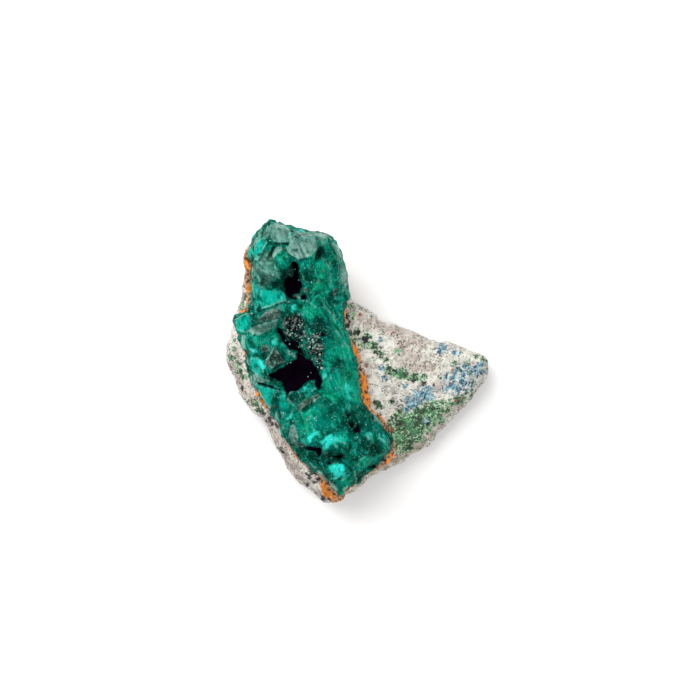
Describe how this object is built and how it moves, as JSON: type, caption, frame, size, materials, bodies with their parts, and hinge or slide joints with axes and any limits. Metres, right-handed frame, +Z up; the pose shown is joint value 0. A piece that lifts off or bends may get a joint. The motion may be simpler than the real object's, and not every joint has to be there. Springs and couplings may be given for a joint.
{
  "type": "mineral specimen",
  "caption": "Ridge of intergrown green dioptase crystals on a thin orange iron oxide seam, across a wedge of white rock with a flat cut back.",
  "frame": {"origin": "middle of the specimen's footprint box, on the surface that its flat cut back rests on", "axes": "+Z up out of the crystals' side, +Y to the broad back end of the crystal ridge and along the specimen's longest side, +X to the thin wing of bare rock"},
  "size_m": [0.0394, 0.0426, 0.0173],
  "materials": {
    "matrix_rock": "rough, sugary white calcite rock with green, blue and rusty specks",
    "iron_oxide": "crumbly, earthy, matt orange",
    "dioptase": "vitreous, emerald to teal green, partly clear"
  },
  "bodies": {
    "root": {"matrix": "matrix_rock", "iron_oxide_seam": "iron_oxide", "dioptase_crystals": "dioptase"}
  },
  "joints": []
}
